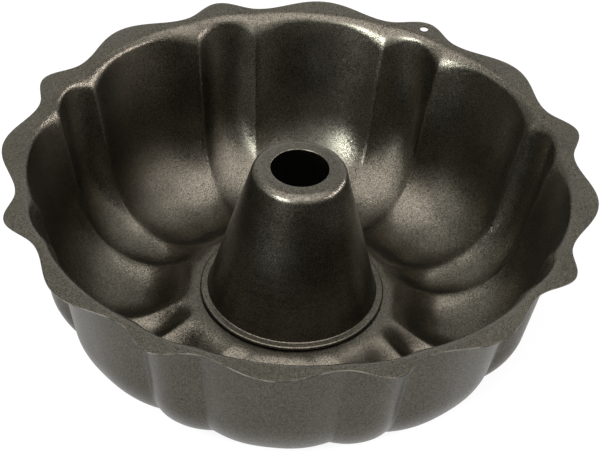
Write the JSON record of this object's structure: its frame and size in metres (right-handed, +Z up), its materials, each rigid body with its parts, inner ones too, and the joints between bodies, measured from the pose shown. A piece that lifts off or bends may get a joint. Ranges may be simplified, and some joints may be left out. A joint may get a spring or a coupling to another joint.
{
  "type": "fluted tube pan",
  "caption": "Round steel baking pan with alternating wide and narrow flutes, a wavy flat flange with a hanging hole, and a hollow cone seamed into its floor, for baking ring cakes.",
  "frame": {"origin": "on the surface the pan stands on, under the pan's axis: the centre of the bottom of its box", "axes": "+Z up along the pan's axis; +X and +Y through the middles of wide flutes; the hanging hole lies 67.5 degrees from +X towards +Y"},
  "size_m": [0.2652, 0.2652, 0.087],
  "materials": {
    "bowl_coating": "satin dark grey non-stick coating with a fine metallic speckle",
    "tube_coating": "satin dark grey non-stick coating with a fine metallic speckle over faint drawing lines"
  },
  "bodies": {
    "root": {"pan_shell": "bowl_coating", "centre_tube": "tube_coating"}
  },
  "joints": []
}
